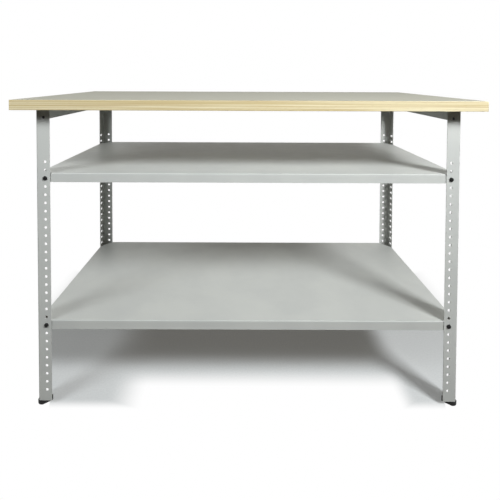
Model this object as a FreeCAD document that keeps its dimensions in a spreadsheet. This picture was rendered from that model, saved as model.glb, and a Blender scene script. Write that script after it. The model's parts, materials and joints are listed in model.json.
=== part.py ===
"""Assembly table: a laminated board on four perforated angle posts, with two sheet-metal shelves.

Millimetres, +Z up, +X to the right along the front, +Y towards the back. The origin is on the floor
under the middle of the table. Every driving size is a cell of the "size" sheet, and each sub-part is
bound to those cells by expressions.
"""

import FreeCAD, Part
from math import pi
import os
import Sketcher

# Driving sizes, in millimetres unless the name says count or rows.
SIZES = {
    # overall
    "frame_width": 1200,  # outside of the posts, left to right
    "frame_depth": 600,  # outside of the posts, front to back
    "post_length": 840,
    # worktop
    "worktop_overhang": 50,  # beyond the posts' outer faces, on all four sides
    "board_thickness": 28,  # core and both laminates together
    "laminate": 0.8,
    "edge_band": 2,
    "edge_radius": 1.2,
    # perforated angle post
    "post_leg": 38,  # flange at the front or back
    "post_side_leg": 44,  # flange at the side
    "post_sheet": 2,
    "post_bend": 4,
    "hole_dia": 8,
    "hole_inset": 24.5,  # from the post's outer corner, on the front or back flange
    "slot_inset": 28,  # from the post's outer corner to the middle of the side flange's slots
    "slot_length": 20,  # they are as high as the holes
    "hole_pitch": 23.5,
    "first_hole": 32,  # above the post's lower end
    "top_margin": 141,  # plain length above the holes
    "top_hole_clearance": 0.2,
    "top_hole_inset": 21.5,
    "top_hole_drop": 24,  # below the post's upper end
    # foot
    "foot_sole": 12,
    "foot_margin": 4,  # sole outside the post's faces
    "foot_corner": 12,
    "foot_round": 5,
    "foot_straight": 25,  # from the post's free edge to where the sole's front side slants back
    "foot_reach": 7,  # the post's free edge beyond the sole's end
    "foot_end": 12,  # depth of the sole's end behind the post's outer face
    "foot_wall": 3,
    "foot_upstand": 15,
    "foot_upstand_reach": 1.5,  # the upstand's end beyond the free edge at the front or back
    "foot_side_upstand": 26,  # end of the upstand along the side, from the outer corner
    "foot_clearance": 0.2,
    # shelves
    "shelf_sheet": 1,
    "shelf_lip": 26,
    "shelf_bend": 3,  # outer radius of the bend between top and lip
    "shelf_hem": 12,
    "shelf_clearance": 0.2,
    "shelf_joggle_gap": 1.6,  # from the post's free edge to where the lip starts to step out
    "shelf_joggle_run": 1.4,  # length of the step along the lip
    "shelf_notch": 6,
    "shelf_corner_cut": 38.5,  # along the front or back
    "shelf_corner_cut_side": 50,
    "shelf_cut_depth": 3.2,
    "shelf_hem_setback": 48,
    "shelf_bolt_drop": 15,  # bolt axis below the shelf's top
    "shelf_hole_clearance": 0.25,
    "lower_shelf_rows": 8,  # hole row, counted up from the lowest
    "upper_shelf_rows": 2,  # hole row, counted down from the highest
    "stiffener_width": 70,
    "stiffener_crown": 40,
    "stiffener_height": 20,
    "stiffener_sheet": 1,
    "stiffener_end_gap": 0.5,  # to where the shelf's side bend starts
    # side rails under the worktop
    "rail_sheet": 1.5,
    "rail_height": 35,
    "rail_flange": 30,
    "rail_bend": 3,
    "rail_clearance": 0.2,
    "wood_screw_spacing": 230,
    # fasteners: shelf bolts with their nuts, then rail screws with theirs
    "thread_dia": 6,
    "rail_thread_dia": 4,
    "thread_clearance": 0.05,
    "bolt_length": 16,
    "bolt_head_dia": 12.4,
    "bolt_head_height": 3.6,
    "bolt_head_round": 2.6,
    "bolt_socket": 4,
    "bolt_socket_depth": 2,
    "nut_flats": 10,
    "nut_height": 5,
    "nut_flange_dia": 13,
    "nut_flange_height": 1.2,
    "screw_length": 10,
    "screw_head_dia": 7.6,
    "screw_head_height": 2.2,
    "screw_head_round": 1.5,
    "screw_socket": 2.5,
    "screw_socket_depth": 1.2,
    "rail_nut_flats": 7,
    "rail_nut_height": 3.2,
    "rail_nut_flange_dia": 9,
    "rail_nut_flange_height": 0.8,
    "wood_screw_dia": 4.5,
    "wood_screw_length": 22,
    "wood_screw_head_dia": 9,
    "wood_screw_head_height": 2.8,
    "wood_screw_head_round": 1.8,
}

doc = FreeCAD.newDocument("assembly_table")
sheet = doc.addObject("Spreadsheet::Sheet", "size")
for row, (alias, number) in enumerate(SIZES.items(), 1):
    sheet.set(f"A{row}", alias)
    sheet.set(f"B{row}", str(number))
    sheet.setAlias(f"B{row}", alias)
doc.recompute()

# Places worked out from the sheet, written once and used in the expressions below.
HALF_WIDTH = "(size.frame_width / 2)"
HALF_DEPTH = "(size.frame_depth / 2)"
UNDERSIDE = "(size.foot_sole + size.post_length)"
TABLE_TOP = f"({UNDERSIDE} + size.board_thickness)"
HOLE_ROOM = "(size.post_length - size.top_margin - size.first_hole)"
HOLE_STEPS = f"floor({HOLE_ROOM} / size.hole_pitch)"
LOWEST_HOLE = "(size.foot_sole + size.first_hole)"
LOWER_SHELF_TOP = f"({LOWEST_HOLE} + size.lower_shelf_rows * size.hole_pitch + size.shelf_bolt_drop)"
UPPER_SHELF_ROW = f"({HOLE_STEPS} - size.upper_shelf_rows)"
UPPER_SHELF_TOP = f"({LOWEST_HOLE} + {UPPER_SHELF_ROW} * size.hole_pitch + size.shelf_bolt_drop)"
TOP_HOLE_HEIGHT = f"({UNDERSIDE} - size.top_hole_drop)"
TOP_HOLE_DIA = "(size.rail_thread_dia + 2 * size.top_hole_clearance)"
SHELF_HOLE_DIA = "(size.thread_dia + 2 * size.shelf_hole_clearance)"

# The four corners: name, sign of X, sign of Y, quarter turns from the front left corner.
CORNERS = (("front_left", -1, -1, 0), ("front_right", 1, -1, 1),
           ("back_right", 1, 1, 2), ("back_left", -1, 1, 3))
# A post's two flanges: width, the holes' distance from the post's outer corner, the slots' length
# (none for round holes) and where the foot's upstand ends.
END_FLANGE = ("size.post_leg", "size.hole_inset", None,
              "(size.post_leg + size.foot_upstand_reach)")
SIDE_FLANGE = ("size.post_side_leg", "size.slot_inset", "size.slot_length",
               "size.foot_side_upstand")
QUARTER_TURN = 90
SAME_PLACE = 0.01  # two coordinates closer than this are the same

nodes = []


def number(expression):
    """The value of an expression on the sheet."""
    result = sheet.evalExpression(expression)
    return float(getattr(result, "Value", result))


def minus(expression):
    return f"-({expression})"


def origin_feature(body, role):
    return next(item for item in body.Origin.OriginFeatures if item.Role == role)


def new_body(name):
    """A sub-part's body; its label names the exported file."""
    body = doc.addObject("PartDesign::Body", name)
    body.Label = name
    nodes.append(body)
    return body


def new_sketch(body, name, plane="XY_Plane", offset=None):
    """A sketch on one of the body's own origin planes, moved along its normal by an expression."""
    sketch = body.newObject("Sketcher::SketchObject", name)
    sketch.AttachmentSupport = (origin_feature(body, plane), [""])
    sketch.MapMode = "FlatFace"
    if offset:
        sketch.setExpression("AttachmentOffset.Base.z", offset)
    return sketch


def add_loop(sketch, corners):
    """A closed polygon whose corners are pairs of expressions."""
    first = sketch.GeometryCount
    count = len(corners)
    places = [FreeCAD.Vector(number(x), number(y), 0) for x, y in corners]
    for i in range(count):
        sketch.addGeometry(Part.LineSegment(places[i], places[(i + 1) % count]))
    for i in range(count):
        following = first + (i + 1) % count
        sketch.addConstraint(Sketcher.Constraint("Coincident", first + i, 2, following, 1))
    for i, (x, y) in enumerate(corners):
        bind_point(sketch, first + i, 1, x, y)


def add_circle(sketch, x, y, diameter):
    place = FreeCAD.Vector(number(x), number(y), 0)
    radius = number(diameter) / 2
    index = sketch.addGeometry(Part.Circle(place, FreeCAD.Vector(0, 0, 1), radius))
    bind_point(sketch, index, 3, x, y)
    constraint = sketch.addConstraint(Sketcher.Constraint("Diameter", index, 2 * radius))
    sketch.setExpression(f"Constraints[{constraint}]", diameter)


def add_slot(sketch, x, y, length, height):
    """A level slot with round ends: two lines, and an arc at each end."""
    half = f"({height} / 2)"
    first = sketch.GeometryCount
    ends = [signed(side, f"({length} / 2 - {half})") for side in (1, -1)]
    for side, end in zip((1, -1), ends):
        centre = FreeCAD.Vector(number(f"{x} + {end}"), number(y), 0)
        circle = Part.Circle(centre, FreeCAD.Vector(0, 0, 1), number(half))
        sketch.addGeometry(Part.ArcOfCircle(circle, -side * pi / 2, (2 - side) * pi / 2))
    for side in (1, -1):
        level = f"{y} + {signed(-side, half)}"
        start, stop = (ends[1], ends[0]) if side > 0 else (ends[0], ends[1])
        line = sketch.addGeometry(Part.LineSegment(
            FreeCAD.Vector(number(f"{x} + {start}"), number(level), 0),
            FreeCAD.Vector(number(f"{x} + {stop}"), number(level), 0)))
        bind_point(sketch, line, 1, f"{x} + {start}", level)
        bind_point(sketch, line, 2, f"{x} + {stop}", level)
    lower, upper = first + 2, first + 3
    for arc, point, line, line_point in ((first, 1, lower, 2), (first, 2, upper, 1),
                                         (first + 1, 1, upper, 2), (first + 1, 2, lower, 1)):
        sketch.addConstraint(Sketcher.Constraint("Coincident", arc, point, line, line_point))
    for arc, end in ((first, ends[0]), (first + 1, ends[1])):
        middle = f"{x} + {end}"
        constraint = sketch.addConstraint(
            Sketcher.Constraint("DistanceX", -1, 1, arc, 3, number(middle)))
        sketch.setExpression(f"Constraints[{constraint}]", middle)


def bind_point(sketch, geometry, point, x, y):
    """Tie a point of a sketch to the sheet, measured from the sketch's origin."""
    for kind, expression in (("DistanceX", x), ("DistanceY", y)):
        value = number(expression)
        constraint = sketch.addConstraint(
            Sketcher.Constraint(kind, -1, 1, geometry, point, value))
        sketch.setExpression(f"Constraints[{constraint}]", expression)


def pad(body, sketch, length, midplane=False):
    feature = body.newObject("PartDesign::Pad", f"{sketch.Name}_pad")
    feature.Profile = sketch
    feature.Midplane = midplane
    feature.setExpression("Length", length)
    doc.recompute()


def pocket(body, sketch, length=None, upwards=False):
    """Cut a sketch out of the body: right through both ways, or by a length to one side."""
    before = body.Shape.Volume
    feature = body.newObject("PartDesign::Pocket", f"{sketch.Name}_pocket")
    feature.Profile = sketch
    if length is None:
        feature.Type = "ThroughAll"
        feature.Midplane = True
    else:
        feature.Reversed = upwards
        feature.setExpression("Length", length)
    doc.recompute()
    if body.Shape.Volume >= before:
        raise RuntimeError(f"{feature.Name} cuts nothing")
    return feature


def repeat_upwards(body, feature):
    """Repeat a hole along the post, once per pitch, as often as the post has room for."""
    pattern = body.newObject("PartDesign::LinearPattern", f"{feature.Name}_row")
    pattern.Originals = [feature]
    pattern.Direction = (origin_feature(body, "Z_Axis"), [""])
    pattern.setExpression("Length", f"size.hole_pitch * {HOLE_STEPS}")
    pattern.setExpression("Occurrences", f"{HOLE_STEPS} + 1")
    body.Tip = pattern
    doc.recompute()


def edges_where(feature, wanted):
    """Names of the edges whose middle and direction pass a test."""
    names = []
    for index, edge in enumerate(feature.Shape.Edges, 1):
        start, end = edge.Vertexes[0].Point, edge.Vertexes[-1].Point
        if wanted((start + end) / 2, end - start):
            names.append(f"Edge{index}")
    return names


def fillet(body, wanted, radius):
    """Round the edges of the body's last feature that pass a test."""
    base = body.Tip
    feature = body.newObject("PartDesign::Fillet", f"{base.Name}_round")
    feature.Base = (base, edges_where(base, wanted))
    feature.setExpression("Radius", radius)
    doc.recompute()


def near(value, target):
    return abs(value - target) < SAME_PLACE


def is_vertical(direction):
    return near(direction.x, 0) and near(direction.y, 0)


def four_quadrants(quarter):
    """A closed loop from the corners in one quadrant, listed from the left side to the front."""
    loop = []
    for sign_x, sign_y in ((-1, -1), (1, -1), (1, 1), (-1, 1)):
        part = [(x if sign_x > 0 else minus(x), y if sign_y > 0 else minus(y)) for x, y in quarter]
        loop += part if sign_x == sign_y else part[::-1]
    return loop


def rectangle(x_low, y_low, x_high, y_high):
    return [(x_low, y_low), (x_high, y_low), (x_high, y_high), (x_low, y_high)]


def turn_about_z(thing, turns):
    rotation = FreeCAD.Rotation(FreeCAD.Vector(0, 0, 1), turns * QUARTER_TURN)
    thing.Placement = FreeCAD.Placement(FreeCAD.Vector(0, 0, 0), rotation)


def place(thing, x, y, z):
    """Bind where a body or link stands; its rotation stays as it was set."""
    for axis, expression in (("x", x), ("y", y), ("z", z)):
        thing.setExpression(f"Placement.Base.{axis}", expression)


def signed(sign, expression):
    return expression if sign > 0 else minus(expression)


# --- worktop -------------------------------------------------------------------------------------
BOARD_X = f"({HALF_WIDTH} + size.worktop_overhang)"
BOARD_Y = f"({HALF_DEPTH} + size.worktop_overhang)"
CORE_X = f"({BOARD_X} - size.edge_band)"
CORE_Y = f"({BOARD_Y} - size.edge_band)"
CORE_THICKNESS = "(size.board_thickness - 2 * size.laminate)"
RAIL_FACE_X = f"({HALF_WIDTH} - size.post_sheet - size.rail_clearance)"
WOOD_SCREW_X = f"({RAIL_FACE_X} - size.rail_flange / 2)"
WOOD_SCREW_ROWS = ("-size.wood_screw_spacing", "0", "size.wood_screw_spacing")


def make_layer(name, height, thickness):
    """One flat layer of the board, as wide as the board without its edge bands."""
    body = new_body(name)
    outline = new_sketch(body, f"{name}_outline")
    add_loop(outline, rectangle(minus(CORE_X), minus(CORE_Y), CORE_X, CORE_Y))
    pad(body, outline, thickness)
    place(body, "0", "0", height)
    return body


def drill_for_wood_screws(body, depth):
    """Holes from below, filled by the wood screws' shanks."""
    holes = new_sketch(body, f"{body.Name}_pilot_holes")
    for side in (-1, 1):
        for row in WOOD_SCREW_ROWS:
            add_circle(holes, signed(side, WOOD_SCREW_X), row,
                       "size.wood_screw_dia + 2 * size.thread_clearance")
    pocket(body, holes, depth, upwards=True)


WOOD_SCREW_IN_CORE = "(size.wood_screw_length - size.rail_sheet - size.laminate)"
core = make_layer("worktop_core", f"{UNDERSIDE} + size.laminate", CORE_THICKNESS)
drill_for_wood_screws(core, f"{WOOD_SCREW_IN_CORE} + size.thread_clearance")
make_layer("worktop_top_laminate", f"{TABLE_TOP} - size.laminate", "size.laminate")
backing = make_layer("worktop_bottom_laminate", UNDERSIDE, "size.laminate")
drill_for_wood_screws(backing, "size.laminate")


def make_edge_band(name, x_low, y_low, x_high, y_high, outer_face):
    """A band glued round the board, its outer edges rounded; outer_face tests the rounded edges."""
    body = new_body(name)
    outline = new_sketch(body, f"{name}_outline")
    add_loop(outline, rectangle(x_low, y_low, x_high, y_high))
    pad(body, outline, "size.board_thickness")
    fillet(body, outer_face, "size.edge_radius")
    place(body, "0", "0", UNDERSIDE)


for name, side in (("edge_band_front", -1), ("edge_band_back", 1)):
    near_y, far_y = (minus(BOARD_Y), minus(CORE_Y)) if side < 0 else (CORE_Y, BOARD_Y)
    make_edge_band(name, minus(BOARD_X), near_y, BOARD_X, far_y,
                   lambda middle, direction, side=side: near(middle.y, side * number(BOARD_Y)))
for name, side in (("edge_band_left", -1), ("edge_band_right", 1)):
    near_x, far_x = (minus(BOARD_X), minus(CORE_X)) if side < 0 else (CORE_X, BOARD_X)
    make_edge_band(name, near_x, minus(CORE_Y), far_x, CORE_Y,
                   lambda middle, direction, side=side: near(middle.x, side * number(BOARD_X))
                   and not is_vertical(direction))


# --- perforated angle posts ----------------------------------------------------------------------
def own_flanges(turns):
    """The flanges along a corner piece's own X and Y; an odd number of quarter turns swaps them."""
    return (SIDE_FLANGE, END_FLANGE) if turns % 2 else (END_FLANGE, SIDE_FLANGE)


def make_post(name, flange_x, flange_y):
    """An angle with its outer corner at the body's origin and its flanges along +X and +Y."""
    body = new_body(name)
    section = new_sketch(body, f"{name}_section")
    thick = "size.post_sheet"
    leg_x, leg_y = flange_x[0], flange_y[0]
    add_loop(section, [("0", "0"), (leg_x, "0"), (leg_x, thick),
                       (thick, thick), (thick, leg_y), ("0", leg_y)])
    pad(body, section, "size.post_length")
    fillet(body, lambda middle, direction: is_vertical(direction)
           and near(middle.x, 0) and near(middle.y, 0), "size.post_bend")
    fillet(body, lambda middle, direction: is_vertical(direction)
           and near(middle.x, number(thick)) and near(middle.y, number(thick)),
           "size.post_bend - size.post_sheet")
    for flange, plane, (_, inset, slot, _) in (("x", "XZ_Plane", flange_x),
                                               ("y", "YZ_Plane", flange_y)):
        row = new_sketch(body, f"{name}_hole_{flange}", plane)
        if slot:
            add_slot(row, inset, "size.first_hole", slot, "size.hole_dia")
        else:
            add_circle(row, inset, "size.first_hole", "size.hole_dia")
        repeat_upwards(body, pocket(body, row))
    for flange, plane in (("x", "XZ_Plane"), ("y", "YZ_Plane")):
        top = new_sketch(body, f"{name}_top_hole_{flange}", plane)
        add_circle(top, "size.top_hole_inset", "size.post_length - size.top_hole_drop",
                   TOP_HOLE_DIA)
        pocket(body, top)
    return body


for corner, sign_x, sign_y, turns in CORNERS:
    post = make_post(f"{corner}_post", *own_flanges(turns))
    turn_about_z(post, turns)
    place(post, signed(sign_x, HALF_WIDTH), signed(sign_y, HALF_DEPTH), "size.foot_sole")


# --- feet ----------------------------------------------------------------------------------------
def make_foot(name, flange_x, flange_y):
    """A plastic foot: a rounded sole under the post and an upstand inside its bend."""
    body = new_body(name)
    out = minus("size.foot_margin")
    (leg_x, _, _, end_x), (leg_y, _, _, end_y) = flange_x, flange_y
    slant_x, slant_y = (f"({leg} - size.foot_straight)" for leg in (leg_x, leg_y))
    reach_x, reach_y = (f"({leg} - size.foot_reach)" for leg in (leg_x, leg_y))
    sole = new_sketch(body, f"{name}_sole")
    add_loop(sole, [(out, out), (slant_x, out), (reach_x, "size.foot_end"),
                    ("size.foot_end", reach_y), (out, slant_y)])
    pad(body, sole, "size.foot_sole")
    fillet(body, lambda middle, direction: is_vertical(direction)
           and near(middle.x, number(out)) and near(middle.y, number(out)), "size.foot_corner")
    fillet(body, lambda middle, direction: is_vertical(direction)
           and max(middle.x, middle.y) > number("size.foot_corner"), "size.foot_round")
    fillet(body, lambda middle, direction: near(middle.z, 0), "size.foot_round")
    inner = "(size.post_sheet + size.foot_clearance)"
    wall = f"({inner} + size.foot_wall)"
    upstand = new_sketch(body, f"{name}_upstand", offset="size.foot_sole")
    add_loop(upstand, [(inner, inner), (end_x, inner), (end_x, wall),
                       (wall, wall), (wall, end_y), (inner, end_y)])
    pad(body, upstand, "size.foot_upstand")
    fillet(body, lambda middle, direction: is_vertical(direction)
           and near(middle.x, number(inner)) and near(middle.y, number(inner)), "size.foot_wall")
    return body


for corner, sign_x, sign_y, turns in CORNERS:
    foot = make_foot(f"{corner}_foot", *own_flanges(turns))
    turn_about_z(foot, turns)
    place(foot, signed(sign_x, HALF_WIDTH), signed(sign_y, HALF_DEPTH), "0")


# --- shelves -------------------------------------------------------------------------------------
# The tray fits inside the posts; between them its front and back lips step out flush with the posts.
STEP = "(size.post_sheet + size.shelf_clearance)"
TRAY_X = f"({HALF_WIDTH} - {STEP})"
TRAY_Y = f"({HALF_DEPTH} - {STEP})"
FLUSH_X = f"({HALF_WIDTH} - size.post_leg - size.shelf_joggle_gap - size.shelf_joggle_run)"
HALF_STEP_TURN = f"tan(atan({STEP} / size.shelf_joggle_run) / 2)"
BOLT_X = f"({HALF_WIDTH} - size.hole_inset)"
BOLT_Y = f"({HALF_DEPTH} - size.slot_inset)"


def tray_outline(inset):
    """The tray's plan, moved inwards by an expression: straight sides and two stepped long lips."""
    flush = f"({FLUSH_X} - ({inset}) * {HALF_STEP_TURN})"
    return four_quadrants([
        (f"{TRAY_X} - {inset}", f"{TRAY_Y} - {inset}"),
        (f"{flush} + size.shelf_joggle_run", f"{TRAY_Y} - {inset}"),
        (flush, f"{HALF_DEPTH} - {inset}")])


def hem_opening():
    """The opening between the hems, which stop short of the corners."""
    lip_x = f"({TRAY_X} - size.shelf_sheet)"
    lip_y = f"({TRAY_Y} - size.shelf_sheet)"
    hem_start_x = f"({FLUSH_X} - size.shelf_sheet)"
    hem_start_y = f"({TRAY_Y} - size.shelf_hem_setback)"
    return four_quadrants([
        (f"{lip_x} - size.shelf_hem", hem_start_y),
        (lip_x, hem_start_y),
        (lip_x, lip_y),
        (hem_start_x, lip_y),
        (hem_start_x, f"{HALF_DEPTH} - size.shelf_sheet - size.shelf_hem")])


def add_corner_cuts(sketch, size_x, size_y, triangle):
    """One triangle or rectangle at each corner of the tray, reaching past its outline."""
    outside_x = f"({TRAY_X} + {STEP})"
    outside_y = f"({TRAY_Y} + {STEP})"
    for _, sign_x, sign_y, _ in CORNERS:
        loop = [(outside_x, outside_y)]
        if triangle:
            loop += [(f"{TRAY_X} - {size_x} - {STEP} * {size_x} / {size_y}", outside_y),
                     (outside_x, f"{TRAY_Y} - {size_y} - {STEP} * {size_y} / {size_x}")]
        else:
            loop += [(f"{TRAY_X} - {size_x}", outside_y),
                     (f"{TRAY_X} - {size_x}", f"{TRAY_Y} - {size_y}"),
                     (outside_x, f"{TRAY_Y} - {size_y}")]
        add_loop(sketch, [(signed(sign_x, x), signed(sign_y, y)) for x, y in loop])


def make_shelf(name, top):
    """A bent tray with its upper face at the body's origin, open below between the hems."""
    body = new_body(name)
    bottom = minus("size.shelf_lip")
    inner_height = "(size.shelf_lip - 2 * size.shelf_sheet)"
    outline = new_sketch(body, f"{name}_outline", offset=bottom)
    add_loop(outline, tray_outline("0"))
    pad(body, outline, "size.shelf_lip")
    fillet(body, lambda middle, direction: near(middle.z, 0), "size.shelf_bend")
    cavity = new_sketch(body, f"{name}_cavity", offset=f"{bottom} + size.shelf_sheet")
    add_loop(cavity, tray_outline("size.shelf_sheet"))
    pocket(body, cavity, inner_height, upwards=True)
    fillet(body, lambda middle, direction: near(middle.z, -number("size.shelf_sheet")),
           "size.shelf_bend - size.shelf_sheet")
    opening = new_sketch(body, f"{name}_opening", offset=bottom)
    add_loop(opening, hem_opening())
    pocket(body, opening, "size.shelf_sheet", upwards=True)
    notches = new_sketch(body, f"{name}_notches")
    add_corner_cuts(notches, "size.shelf_notch", "size.shelf_notch", triangle=False)
    pocket(body, notches)
    cuts = new_sketch(body, f"{name}_corner_cuts")
    add_corner_cuts(cuts, "size.shelf_corner_cut", "size.shelf_corner_cut_side", triangle=True)
    pocket(body, cuts, "size.shelf_cut_depth")
    for plane, across in (("XZ_Plane", BOLT_X), ("YZ_Plane", BOLT_Y)):
        holes = new_sketch(body, f"{name}_holes_{plane[:2].lower()}", plane)
        for side in (-1, 1):
            add_circle(holes, signed(side, across), minus("size.shelf_bolt_drop"),
                       SHELF_HOLE_DIA)
        pocket(body, holes)
    place(body, "0", "0", top)


def make_stiffener(name, top):
    """A hat section welded under the shelf along its middle."""
    body = new_body(name)
    foot_y, crown_y = "(size.stiffener_width / 2)", "(size.stiffener_crown / 2)"
    thick = "size.stiffener_sheet"
    under = minus("size.shelf_sheet")
    low = f"({under} - size.stiffener_height)"
    half = [(crown_y, low), (crown_y, f"{under} - {thick}"), (foot_y, f"{under} - {thick}"),
            (foot_y, under), (f"{crown_y} - {thick}", under),
            (f"{crown_y} - {thick}", f"{low} + {thick}")]
    section = new_sketch(body, f"{name}_section", "YZ_Plane")
    add_loop(section, half + [(minus(y), z) for y, z in half[::-1]])
    pad(body, section, f"2 * ({TRAY_X} - size.shelf_bend - size.stiffener_end_gap)", midplane=True)
    place(body, "0", "0", top)


for level, top in (("upper", UPPER_SHELF_TOP), ("lower", LOWER_SHELF_TOP)):
    make_shelf(f"{level}_shelf", top)
    make_stiffener(f"{level}_shelf_stiffener", top)


# --- side rails ----------------------------------------------------------------------------------
def make_rail(name, turns):
    """A bent channel under the board's side: web, top flange and two end tabs, drawn for the left."""
    body = new_body(name)
    back_y = f"({HALF_DEPTH} - size.post_sheet - size.rail_clearance)"
    outer_x = minus(RAIL_FACE_X)
    flange_x = f"({outer_x} + size.rail_flange)"
    block = new_sketch(body, f"{name}_block", offset=minus("size.rail_height"))
    add_loop(block, rectangle(outer_x, minus(back_y), flange_x, back_y))
    pad(body, block, "size.rail_height")
    fillet(body, lambda middle, direction: is_vertical(direction)
           and near(middle.x, number(outer_x)), "size.rail_bend")
    inside_y = f"({back_y} - size.rail_sheet)"
    inside = new_sketch(body, f"{name}_inside", offset=minus("size.rail_height"))
    add_loop(inside, rectangle(f"{outer_x} + size.rail_sheet", minus(inside_y),
                               f"{flange_x} + size.rail_flange", inside_y))
    pocket(body, inside, "size.rail_height - size.rail_sheet", upwards=True)
    fillet(body, lambda middle, direction: is_vertical(direction)
           and near(middle.x, number(outer_x) + number("size.rail_sheet")),
           "size.rail_bend - size.rail_sheet")
    for plane, across in (("XZ_Plane", [f"{minus(HALF_WIDTH)} + size.top_hole_inset"]),
                          ("YZ_Plane", [minus(f"{HALF_DEPTH} - size.top_hole_inset"),
                                        f"{HALF_DEPTH} - size.top_hole_inset"])):
        holes = new_sketch(body, f"{name}_holes_{plane[:2].lower()}", plane)
        for position in across:
            add_circle(holes, position, minus("size.top_hole_drop"), TOP_HOLE_DIA)
        pocket(body, holes)
    seats = new_sketch(body, f"{name}_wood_screw_holes")
    for row in WOOD_SCREW_ROWS:
        add_circle(seats, minus(WOOD_SCREW_X), row,
                   "size.wood_screw_dia + 2 * size.thread_clearance")
    pocket(body, seats)
    turn_about_z(body, turns)
    place(body, "0", "0", UNDERSIDE)


make_rail("left_rail", 0)
make_rail("right_rail", 2)


# --- fasteners -----------------------------------------------------------------------------------
def add_hexagon(sketch, flats):
    """A regular hexagon across the given flats, centred on the sketch's origin."""
    half, slope = f"({flats} / 2)", f"({flats} / 2 * tan(30 deg))"
    point = f"({flats} / 2 / cos(30 deg))"
    add_loop(sketch, [(point, "0"), (slope, half), (minus(slope), half),
                      (minus(point), "0"), (minus(slope), minus(half)), (slope, minus(half))])


def revolve(body, sketch):
    feature = body.newObject("PartDesign::Revolution", f"{sketch.Name}_turned")
    feature.Profile = sketch
    feature.ReferenceAxis = (origin_feature(body, "Z_Axis"), [""])
    doc.recompute()


def make_screw(name, family, shank_dia, socket=True):
    """A round-headed screw: its head stands on +Z above the origin and its shank points down."""
    body = doc.addObject("PartDesign::Body", name)
    shank, head = f"({shank_dia} / 2)", f"(size.{family}_head_dia / 2)"
    height, length = f"size.{family}_head_height", f"size.{family}_length"
    profile = new_sketch(body, f"{name}_profile", "XZ_Plane")
    add_loop(profile, [("0", minus(length)), (shank, minus(length)), (shank, "0"),
                       (head, "0"), (head, height), ("0", height)])
    revolve(body, profile)
    fillet(body, lambda middle, direction: near(middle.z, number(height)),
           f"size.{family}_head_round")
    if socket:
        recess = new_sketch(body, f"{name}_socket", offset=height)
        add_hexagon(recess, f"size.{family}_socket")
        pocket(body, recess, f"size.{family}_socket_depth")
    return body


def make_nut(name, thread_dia):
    """A flanged hexagon nut, its bearing face at the origin and its body above it."""
    body = doc.addObject("PartDesign::Body", name)
    plan = new_sketch(body, f"{name}_plan")
    add_hexagon(plan, f"size.{name}_flats")
    pad(body, plan, f"size.{name}_height")
    flange = new_sketch(body, f"{name}_flange")
    add_circle(flange, "0", "0", f"size.{name}_flange_dia")
    pad(body, flange, f"size.{name}_flange_height")
    bore = new_sketch(body, f"{name}_bore")
    add_circle(bore, "0", "0", f"{thread_dia} + 2 * size.thread_clearance")
    pocket(body, bore)
    return body


shelf_bolt = make_screw("shelf_bolt", "bolt", "size.thread_dia")
rail_screw = make_screw("rail_screw", "screw", "size.rail_thread_dia")
wood_screw = make_screw("wood_screw", "wood_screw", "size.wood_screw_dia", socket=False)
nut = make_nut("nut", "size.thread_dia")
rail_nut = make_nut("rail_nut", "size.rail_thread_dia")

FACING = {
    "left": FreeCAD.Rotation(FreeCAD.Vector(0, 1, 0), -90),
    "right": FreeCAD.Rotation(FreeCAD.Vector(0, 1, 0), 90),
    "front": FreeCAD.Rotation(FreeCAD.Vector(1, 0, 0), 90),
    "back": FreeCAD.Rotation(FreeCAD.Vector(1, 0, 0), -90),
    "down": FreeCAD.Rotation(FreeCAD.Vector(1, 0, 0), 180),
}


def make_group(name, source, stations):
    """One node of identical separate solids: a linked copy of the source at each station."""
    copies = []
    for facing, x, y, z in stations:
        copy = doc.addObject("App::Link", f"{name}_{len(copies) + 1}")
        copy.LinkedObject = source
        copy.Placement = FreeCAD.Placement(FreeCAD.Vector(0, 0, 0), FACING[facing])
        place(copy, x, y, z)
        copies.append(copy)
    group = doc.addObject("Part::Compound", name)
    group.Links = copies
    group.Label = name
    nodes.append(group)


def flange_stations(corner_list, inset, side_inset, height, depth, inwards):
    """Two stations per corner, on the front or back flange and on the side flange.

    depth is how far a station lies inside the post's outer face, and inwards turns it round.
    """
    stations = []
    for _, sign_x, sign_y, _ in corner_list:
        side = ("left", "right")[(sign_x > 0) != inwards]
        end = ("front", "back")[(sign_y > 0) != inwards]
        along_x = signed(sign_x, f"{HALF_WIDTH} - {inset}")
        along_y = signed(sign_y, f"{HALF_DEPTH} - {side_inset}")
        stations.append((end, along_x, signed(sign_y, f"{HALF_DEPTH} - ({depth})"), height))
        stations.append((side, signed(sign_x, f"{HALF_WIDTH} - ({depth})"), along_y, height))
    return stations


SHELF_INSETS = ("size.hole_inset", "size.slot_inset")
RAIL_INSETS = ("size.top_hole_inset", "size.top_hole_inset")
SHELF_GRIP = f"{STEP} + size.shelf_sheet"
RAIL_GRIP = "size.post_sheet + size.rail_clearance + size.rail_sheet"
for level, top in (("upper", UPPER_SHELF_TOP), ("lower", LOWER_SHELF_TOP)):
    bolt_height = f"{top} - size.shelf_bolt_drop"
    make_group(f"{level}_shelf_bolts", shelf_bolt,
               flange_stations(CORNERS, *SHELF_INSETS, bolt_height, "0", False))
    make_group(f"{level}_shelf_nuts", nut,
               flange_stations(CORNERS, *SHELF_INSETS, bolt_height, SHELF_GRIP, True))
for side, sign in (("left", -1), ("right", 1)):
    corners = [corner for corner in CORNERS if corner[1] == sign]
    make_group(f"{side}_rail_screws", rail_screw,
               flange_stations(corners, *RAIL_INSETS, TOP_HOLE_HEIGHT, "0", False))
    make_group(f"{side}_rail_nuts", rail_nut,
               flange_stations(corners, *RAIL_INSETS, TOP_HOLE_HEIGHT, RAIL_GRIP, True))
    make_group(f"{side}_wood_screws", wood_screw,
               [("down", signed(sign, WOOD_SCREW_X), row, f"{UNDERSIDE} - size.rail_sheet")
                for row in WOOD_SCREW_ROWS])

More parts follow.
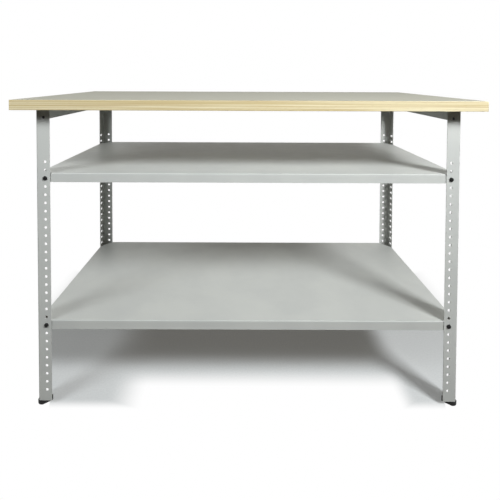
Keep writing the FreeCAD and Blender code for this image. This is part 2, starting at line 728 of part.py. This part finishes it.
# --- check and export ----------------------------------------------------------------------------
doc.recompute()
for item in doc.Objects:
    if "Invalid" in item.State or "Error" in item.State:
        raise RuntimeError(f"{item.Label} failed: {item.State}")
for node in nodes:
    if node.Shape.isNull() or not node.Shape.isValid() or not node.Shape.Solids:
        raise RuntimeError(f"{node.Label} has no valid shape")
os.makedirs("parts", exist_ok=True)
for node in nodes:
    node.Shape.exportStep(os.path.join("parts", f"{node.Label}.step"))
print(f"{len(nodes)} nodes written")
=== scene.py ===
"""Looks of the assembly table: finishes, camera, light and floor.

Metres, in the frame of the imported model: +X to the right along the front, +Y to the back, +Z up,
origin on the floor under the middle of the table.
"""

import json
from math import pi, radians

import bpy
from mathutils import Matrix, Vector

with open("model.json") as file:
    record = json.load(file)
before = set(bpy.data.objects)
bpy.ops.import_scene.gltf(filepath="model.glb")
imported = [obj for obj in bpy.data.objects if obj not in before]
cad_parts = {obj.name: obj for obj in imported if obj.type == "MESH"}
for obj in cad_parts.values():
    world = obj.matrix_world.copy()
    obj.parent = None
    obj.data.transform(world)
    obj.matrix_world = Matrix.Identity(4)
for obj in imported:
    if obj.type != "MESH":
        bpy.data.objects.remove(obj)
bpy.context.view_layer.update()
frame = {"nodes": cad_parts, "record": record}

# --- camera --------------------------------------------------------------------------------------
IMAGE_SIZE = 500  # pixels, both ways
FOCAL_PIXELS = 442.8
PRINCIPAL_POINT = (242.2, 89.8)  # pixels from the image's upper left corner
CAMERA_PLACE = (-0.018, -1.5463, 0.9451)
CAMERA_PITCH = 0.030  # radians, looking down
CAMERA_ROLL = 0.0035  # radians, the image's right side hangs lower
SENSOR = 36.0  # millimetres

# --- light ---------------------------------------------------------------------------------------
LIGHT_TARGET = (0, -0.1, 1.0)
LAMP_SPREAD = 105  # degrees: the lamps' grids hold light back from the lower shelf and the feet
LAMPS = {  # width and height of the lamp's face, power in watts
    "lamp_left": {"place": (-1.85, -1.73, 1.95), "width": 1.00, "height": 0.90,
                  "power": 10.3, "colour": (0.96, 1.0, 1.02)},
    "lamp_right": {"place": (1.63, -1.89, 2.15), "width": 0.70, "height": 0.60,
                   "power": 29, "colour": (0.98, 1.0, 1.01)},
}
AMBIENT_LEVEL = 0.02
AMBIENT_COLOUR = (1.0, 0.95, 0.86, 1)  # of the glow too
GLOW_LEVEL = 2.6  # of a low band of light behind the table
GLOW_RISE = (0.13, 0.21)  # the band's lower and upper border, as the height of a unit direction
GLOW_FALL = (0.30, 0.38)
GLOW_BEHIND = (0.1, 0.6)  # from where to where the band sets in, as the unit direction's Y
PLAIN_WHITE = (1, 1, 1, 1)

# --- floor ---------------------------------------------------------------------------------------
FLOOR_SPAN = 30.0
FLOOR_GRIT_SCALE = 160
FLOOR_PAINT = ((0.77, 0.79, 0.795, 1), (0.81, 0.83, 0.835, 1))  # between the grit and on it
FLOOR_LIFT = 0.052  # light that the floor adds for the camera
FLOOR_BOUNCE = (0.14, 0.12, 0.09, 1)  # the floor's colour where it lights the table from below
SHADOW_HALF_WIDTH = (0.563, 0.572)  # at the front posts: from where to where the floor turns white
SHADOW_DEPTH = 0.3  # of the front posts, in front of the middle
SHADOW_SPREAD = 0.451  # growth of that width per metre towards the back
SHADOW_DRIFT = 0.0144  # of its middle to the right, per metre towards the back
SHADOW_NARROWS = (0.06, 0.30)  # from where to where that growth is taken back
SHADOW_SOFTENS = 0.25  # width that the sides' turn to white gains there
SHADOW_CORE = 0.05  # growth that stays
SHADOW_BACK = (0.38, 0.60)
SHADOW_FRONT = (-0.275, -0.318)
PAINTED_LIGHT_FRONT = (-0.14, -0.23)  # painted light: between the front posts' own shadows, plain white is painted over the table's shadow sooner
LEFT_POST_SHADOW = (-0.42, -0.30)
RIGHT_POST_SHADOW = (0.50, 0.44)

# --- finishes' shared numbers --------------------------------------------------------------------
MOST_NOISE = (0.3, 0.7)  # nearly all values of a noise lie between these
BEVEL_SAMPLES = 6
BEVEL_TURN = (1.0, 0.8)  # likeness of the plain and the rounded normal: on a flat face, on an edge


# --- node helpers --------------------------------------------------------------------------------
def new_finish(name):
    """A material with its node tree and its Principled BSDF."""
    finish = bpy.data.materials.new(name)
    finish.use_nodes = True
    return finish, finish.node_tree, finish.node_tree.nodes["Principled BSDF"]


def plug(tree, node, name, value):
    """Link a socket to an input, or set the input's own value."""
    if isinstance(value, bpy.types.NodeSocket):
        tree.links.new(value, node.inputs[name])
    else:
        node.inputs[name].default_value = value


def add(tree, kind, settings=None, inputs=None):
    """A shader node with its settings and inputs filled in."""
    node = tree.nodes.new(f"ShaderNode{kind}")
    for name, value in (settings or {}).items():
        setattr(node, name, value)
    for name, value in (inputs or {}).items():
        plug(tree, node, name, value)
    return node


def calculate(tree, operation, *values):
    node = add(tree, "Math", {"operation": operation}, dict(enumerate(values)))
    return node.outputs[0]


def ramp(tree, value, low, high, to_low=0.0, to_high=1.0, smooth=True):
    """Carry a value from one range to another, held at the ends."""
    settings = {"interpolation_type": "SMOOTHSTEP" if smooth else "LINEAR", "clamp": True}
    node = add(tree, "MapRange", settings, {"Value": value, "From Min": low, "From Max": high,
                                            "To Min": to_low, "To Max": to_high})
    return node.outputs["Result"]


def blend_colours(tree, factor, first, second):
    """Mix two colours; a Mix node keeps its colours at inputs 6 and 7 and at output 2."""
    node = add(tree, "Mix", {"data_type": "RGBA"}, {0: factor, 6: first, 7: second})
    return node.outputs[2]


def blend_numbers(tree, factor, first, second):
    """Mix two numbers; a Mix node keeps its numbers at inputs 2 and 3 and at output 0."""
    node = add(tree, "Mix", {"data_type": "FLOAT"}, {0: factor, 2: first, 3: second})
    return node.outputs[0]


def places(tree, scale=(1, 1, 1)):
    """The object's own coordinates in metres, stretched along each axis."""
    source = add(tree, "TexCoord").outputs["Object"]
    return add(tree, "Mapping", None, {"Vector": source, "Scale": scale}).outputs["Vector"]


def noise(tree, vector, scale, detail=2.0, roughness=0.5, distortion=0.0):
    node = add(tree, "TexNoise", None, {"Vector": vector, "Scale": scale, "Detail": detail,
                                        "Roughness": roughness, "Distortion": distortion})
    return node.outputs["Fac"]


def edge_mask(tree, radius):
    """1 along sharp and rounded edges, 0 on flat faces."""
    rounded = add(tree, "Bevel", {"samples": BEVEL_SAMPLES}, {"Radius": radius}).outputs["Normal"]
    flat = add(tree, "NewGeometry").outputs["Normal"]
    alike = add(tree, "VectorMath", {"operation": "DOT_PRODUCT"}, {0: rounded, 1: flat})
    return ramp(tree, alike.outputs["Value"], *BEVEL_TURN)


def bump(tree, height, distance, strength):
    node = add(tree, "Bump", None, {"Height": height, "Distance": distance, "Strength": strength})
    return node.outputs["Normal"]


def rgb(red, green, blue):
    """A screen colour, 0 to 255, as the linear colour that the shader takes (sRGB's own curve)."""
    def linear(value):
        value /= 255
        return value / 12.92 if value <= 0.04045 else ((value + 0.055) / 1.055) ** 2.4
    return (linear(red), linear(green), linear(blue), 1.0)


# --- finishes ------------------------------------------------------------------------------------
def make_powder_coat():
    """Light grey powder coat: orange peel, faint clouds, specks and rubbed edges."""
    rubbed_tint, rubbed_polish = 0.5, 0.1
    finish, tree, shader = new_finish("grey_powder_coat")
    here = places(tree)
    clouds = noise(tree, here, scale=7, detail=3)
    specks = noise(tree, here, scale=900, detail=1)
    rub_patches = noise(tree, here, scale=60)
    gloss_patches = noise(tree, here, scale=30, detail=4)
    peel = noise(tree, here, scale=520, detail=2)
    rubbed = calculate(tree, "MULTIPLY", edge_mask(tree, radius=0.0012),
                       ramp(tree, rub_patches, *MOST_NOISE))

    plain = blend_colours(tree, ramp(tree, clouds, *MOST_NOISE),
                          rgb(202, 204, 201), rgb(208, 210, 206))
    speck = ramp(tree, specks, low=0.62, high=0.8, to_high=0.35)
    speckled = blend_colours(tree, speck, plain, rgb(186, 188, 185))
    worn = calculate(tree, "MULTIPLY", rubbed, rubbed_tint)
    plug(tree, shader, "Base Color", blend_colours(tree, worn, speckled, rgb(226, 228, 225)))
    gloss = ramp(tree, gloss_patches, *MOST_NOISE, to_low=0.44, to_high=0.56)
    polish = calculate(tree, "MULTIPLY", rubbed, rubbed_polish)
    plug(tree, shader, "Roughness", calculate(tree, "SUBTRACT", gloss, polish))
    plug(tree, shader, "Specular IOR Level", 0.2)
    plug(tree, shader, "Normal", bump(tree, peel, distance=0.0003, strength=0.25))
    return finish


def make_laminate():
    """Grey melamine: fine pearl texture, faint mottling and a few hairline scuffs."""
    scuff_stretch, scuff_tint = (9, 260, 1), 0.3
    finish, tree, shader = new_finish("grey_laminate")
    here = places(tree)
    mottle = noise(tree, here, scale=18, detail=5, roughness=0.6)
    grain = noise(tree, here, scale=700, detail=2)
    hairlines = noise(tree, places(tree, scuff_stretch), scale=1.0, detail=3, distortion=1.2)

    plain = blend_colours(tree, ramp(tree, mottle, *MOST_NOISE),
                          rgb(167, 166, 151), rgb(174, 173, 158))
    grained = blend_colours(tree, ramp(tree, grain, low=0.55, high=0.75, to_high=0.5),
                            plain, rgb(155, 154, 139))
    scuff = calculate(tree, "MULTIPLY", ramp(tree, hairlines, low=0.70, high=0.78), scuff_tint)
    plug(tree, shader, "Base Color", blend_colours(tree, scuff, grained, rgb(188, 188, 176)))
    plug(tree, shader, "Roughness", ramp(tree, mottle, *MOST_NOISE, to_low=0.46, to_high=0.56))
    plug(tree, shader, "Specular IOR Level", 0.15)
    plug(tree, shader, "Normal", bump(tree, grain, distance=0.0002, strength=0.25))
    return finish


def make_edge_band():
    """Pine-look band: its grain runs along the band, on all four sides of the board; a pale line
    is painted along its rounded edges as their highlight.
    """
    rim_highlight_tint = 0.7
    finish, tree, shader = new_finish("wood_edge_band")
    axes = add(tree, "SeparateXYZ", None, {0: places(tree)}).outputs
    along = calculate(tree, "ADD", axes[0], axes[1])

    def grain(along_scale, across_scale, detail, distortion=0.0):
        long_way = calculate(tree, "MULTIPLY", along, along_scale)
        height = calculate(tree, "MULTIPLY", axes[2], across_scale)
        vector = add(tree, "CombineXYZ", None, {0: long_way, 1: 0.0, 2: height}).outputs[0]
        return noise(tree, vector, scale=1.0, detail=detail, distortion=distortion)

    broad = grain(along_scale=1.1, across_scale=190, detail=2, distortion=0.2)
    lines = grain(along_scale=2.2, across_scale=430, detail=3, distortion=0.1)
    pores = grain(along_scale=45, across_scale=900, detail=1)
    base = blend_colours(tree, ramp(tree, broad, low=0.38, high=0.62),
                         rgb(208, 190, 144), rgb(236, 225, 190))
    lined = blend_colours(tree, ramp(tree, lines, low=0.50, high=0.64, to_high=0.75),
                          base, rgb(200, 178, 134))
    pored = blend_colours(tree, ramp(tree, pores, low=0.66, high=0.76, to_high=0.4),
                          lined, rgb(168, 140, 90))
    # painted highlight: the band's rounded edges are painted pale, as if they caught the light
    painted_rim_highlight = calculate(tree, "MULTIPLY", edge_mask(tree, radius=0.0016), rim_highlight_tint)
    plug(tree, shader, "Base Color", blend_colours(tree, painted_rim_highlight, pored, rgb(250, 244, 222)))
    plug(tree, shader, "Roughness", ramp(tree, lines, *MOST_NOISE, to_low=0.42, to_high=0.56))
    plug(tree, shader, "Specular IOR Level", 0.35)
    plug(tree, shader, "Normal", bump(tree, lines, distance=0.0002, strength=0.2))
    return finish


def make_chipboard():
    """Pressed chips, seen only in the screw holes."""
    chip_scale, chip_stretch = 260, (1, 1, 3)
    finish, tree, shader = new_finish("chipboard")
    chips = add(tree, "TexVoronoi", None, {"Vector": places(tree, chip_stretch),
                                           "Scale": chip_scale})
    tone = ramp(tree, chips.outputs["Distance"], low=0.0, high=0.9)
    plug(tree, shader, "Base Color",
         blend_colours(tree, tone, rgb(206, 176, 128), rgb(150, 116, 74)))
    plug(tree, shader, "Roughness", ramp(tree, tone, low=0, high=1, to_low=0.8, to_high=0.95))
    plug(tree, shader, "Normal", bump(tree, tone, distance=0.0004, strength=0.5))
    return finish


def make_dark_finish(name, colour, worn, gloss, peel_scale, peel_strength):
    """A near-black finish that shows lighter where it is rubbed."""
    finish, tree, shader = new_finish(name)
    here = places(tree)
    smudge = noise(tree, here, scale=90, detail=4)
    peel = noise(tree, here, scale=peel_scale)
    rubbed = calculate(tree, "MULTIPLY", edge_mask(tree, radius=0.0008),
                       ramp(tree, smudge, low=0.35, high=0.65))
    plain = blend_colours(tree, ramp(tree, smudge, *MOST_NOISE, to_high=0.4), colour, worn)
    plug(tree, shader, "Base Color", blend_colours(tree, rubbed, plain, worn))
    plug(tree, shader, "Roughness", ramp(tree, smudge, *MOST_NOISE, *gloss))
    plug(tree, shader, "Specular IOR Level", 0.25)
    plug(tree, shader, "Normal", bump(tree, peel, distance=0.0002, strength=peel_strength))
    return finish


def make_zinc():
    """Zinc plate: patches of gloss and a faint yellow cast."""
    finish, tree, shader = new_finish("zinc_steel")
    here = places(tree)
    patches = noise(tree, here, scale=140, detail=4, roughness=0.6)
    crystals = noise(tree, here, scale=1500)
    plug(tree, shader, "Base Color",
         blend_colours(tree, ramp(tree, patches, low=0.35, high=0.65),
                       rgb(196, 198, 200), rgb(206, 202, 186)))
    plug(tree, shader, "Metallic", 1.0)
    plug(tree, shader, "Roughness", ramp(tree, patches, *MOST_NOISE, to_low=0.28, to_high=0.46))
    plug(tree, shader, "Normal", bump(tree, crystals, distance=0.0001, strength=0.3))
    return finish


FINISHES = {
    "grey_powder_coat": make_powder_coat(),
    "grey_laminate": make_laminate(),
    "wood_edge_band": make_edge_band(),
    "chipboard": make_chipboard(),
    "black_plastic": make_dark_finish("black_plastic", colour=rgb(9, 9, 9), worn=rgb(30, 30, 29),
                                      gloss=(0.46, 0.62), peel_scale=1800, peel_strength=0.35),
    "black_steel": make_dark_finish("black_steel", colour=rgb(9, 9, 9), worn=rgb(36, 35, 34),
                                    gloss=(0.30, 0.45), peel_scale=1200, peel_strength=0.15),
    "zinc_steel": make_zinc(),
}
for part in frame["record"]["subparts"]:
    materials = frame["nodes"][part["node"]].data.materials
    materials.clear()
    materials.append(FINISHES[part["material_slot"]])


# --- floor, light and camera ---------------------------------------------------------------------
def seen_directly(tree):
    """1 for rays from the camera, and for those that a mirror or glass sends on."""
    path = add(tree, "LightPath").outputs
    sent_on = calculate(tree, "MAXIMUM", path["Is Glossy Ray"], path["Is Transmission Ray"])
    return calculate(tree, "MAXIMUM", path["Is Camera Ray"], sent_on)


def white_part(tree, across, back):
    """1 where plain white is painted over the floor and over the table's shadow where it reaches,
    0 where the floor keeps that shadow, from the floor's X and Y.
    """
    from_posts = calculate(tree, "ADD", back, SHADOW_DEPTH)
    widening = calculate(tree, "MULTIPLY", from_posts, SHADOW_SPREAD)
    narrowed = calculate(tree, "MINIMUM", widening, SHADOW_CORE)
    kept = ramp(tree, back, *SHADOW_NARROWS)
    growth = blend_numbers(tree, kept, widening, narrowed)
    drift = calculate(tree, "MULTIPLY", from_posts, SHADOW_DRIFT)
    aside = calculate(tree, "ABSOLUTE", calculate(tree, "SUBTRACT", across, drift))
    off_centre = calculate(tree, "SUBTRACT", aside, growth)
    grey_until, white_from = SHADOW_HALF_WIDTH
    soft_until = calculate(tree, "MULTIPLY_ADD", kept, SHADOW_SOFTENS, white_from)
    sideways = ramp(tree, off_centre, grey_until, soft_until)

    # painted light: on the floor in front, between the front posts' own shadows, plain white is
    # painted over the table's shadow
    between = calculate(tree, "MULTIPLY", ramp(tree, across, *LEFT_POST_SHADOW),
                        ramp(tree, across, *RIGHT_POST_SHADOW))
    painted_light_between_posts = calculate(tree, "MULTIPLY", between, ramp(tree, back, *PAINTED_LIGHT_FRONT))
    behind = ramp(tree, back, *SHADOW_BACK)
    in_front = ramp(tree, back, *SHADOW_FRONT)
    ends = calculate(tree, "MAXIMUM", painted_light_between_posts, calculate(tree, "MAXIMUM", behind, in_front))
    return calculate(tree, "MAXIMUM", sideways, ends)


def make_floor():
    """A pale floor that keeps the shadow near the table and runs out into plain white, which is
    painted over the rest of the shadow.
    """
    mesh = bpy.data.meshes.new("studio_floor")
    half = FLOOR_SPAN / 2
    mesh.from_pydata([(-half, -half, 0), (half, -half, 0), (half, half, 0), (-half, half, 0)],
                     [], [(0, 1, 2, 3)])
    floor = bpy.data.objects.new("studio_floor", mesh)
    bpy.context.scene.collection.objects.link(floor)
    finish, tree, shader = new_finish("studio_floor")
    tree.nodes.remove(shader)
    here = places(tree)
    axes = add(tree, "SeparateXYZ", None, {0: here}).outputs
    seen = seen_directly(tree)
    grit = ramp(tree, noise(tree, here, FLOOR_GRIT_SCALE, detail=3), *MOST_NOISE)
    colour = blend_colours(tree, seen, FLOOR_BOUNCE, blend_colours(tree, grit, *FLOOR_PAINT))
    paint = add(tree, "BsdfDiffuse", None, {"Color": colour}).outputs[0]
    lift = add(tree, "Emission", None, {"Strength": calculate(tree, "MULTIPLY", seen, FLOOR_LIFT)})
    lit = add(tree, "AddShader", None, {0: paint, 1: lift.outputs[0]}).outputs[0]
    white = add(tree, "Emission", None, {"Strength": 1.0}).outputs[0]
    whitened = calculate(tree, "MULTIPLY", seen, white_part(tree, axes[0], axes[1]))
    masked = add(tree, "MixShader", None, {0: whitened, 1: lit, 2: white}).outputs[0]
    clear = add(tree, "BsdfTransparent").outputs[0]
    from_below = add(tree, "NewGeometry").outputs["Backfacing"]
    shown = add(tree, "MixShader", None, {0: from_below, 1: masked, 2: clear}).outputs[0]
    plug(tree, tree.nodes["Material Output"], "Surface", shown)
    mesh.materials.append(finish)


def make_world():
    """Dim surroundings with a low glow behind the table, plain white where they are seen."""
    world = bpy.data.worlds.new("studio")
    world.use_nodes = True
    bpy.context.scene.world = world
    tree = world.node_tree
    seen = seen_directly(tree)
    towards = add(tree, "TexCoord").outputs["Generated"]
    direction = add(tree, "SeparateXYZ", None, {0: towards}).outputs
    band = calculate(tree, "MULTIPLY", ramp(tree, direction[2], *GLOW_RISE),
                     ramp(tree, direction[2], *GLOW_FALL, to_low=1.0, to_high=0.0))
    glow = calculate(tree, "MULTIPLY", band, ramp(tree, direction[1], *GLOW_BEHIND))
    level = ramp(tree, glow, 0.0, 1.0, to_low=AMBIENT_LEVEL, to_high=GLOW_LEVEL, smooth=False)
    background = tree.nodes["Background"]
    plug(tree, background, "Color", blend_colours(tree, seen, AMBIENT_COLOUR, PLAIN_WHITE))
    plug(tree, background, "Strength", blend_numbers(tree, seen, level, 1.0))


def make_lamp(name, place, width, height, power, colour):
    """An upright soft light that faces the target."""
    data = bpy.data.lights.new(name, "AREA")
    data.shape = "RECTANGLE"
    data.size, data.size_y = width, height
    data.spread = radians(LAMP_SPREAD)
    data.energy = power
    data.color = colour
    lamp = bpy.data.objects.new(name, data)
    lamp.location = place
    away = Vector(place) - Vector(LIGHT_TARGET)
    lamp.rotation_euler = away.to_track_quat("Z", "Y").to_euler()
    bpy.context.scene.collection.objects.link(lamp)


def make_camera():
    """The photograph's camera: nearly level, its picture shifted down."""
    data = bpy.data.cameras.new("camera")
    data.sensor_width = SENSOR
    data.lens = FOCAL_PIXELS / IMAGE_SIZE * SENSOR
    data.shift_x = 0.5 - PRINCIPAL_POINT[0] / IMAGE_SIZE
    data.shift_y = PRINCIPAL_POINT[1] / IMAGE_SIZE - 0.5
    camera = bpy.data.objects.new("camera", data)
    tilt = Matrix.Rotation(pi / 2 - CAMERA_PITCH, 4, "X") @ Matrix.Rotation(CAMERA_ROLL, 4, "Z")
    camera.matrix_world = Matrix.Translation(CAMERA_PLACE) @ tilt
    bpy.context.scene.collection.objects.link(camera)
    bpy.context.scene.camera = camera


make_floor()
make_world()
for name, values in LAMPS.items():
    make_lamp(name, **values)
make_camera()
bpy.context.scene.view_settings.view_transform = "Standard"
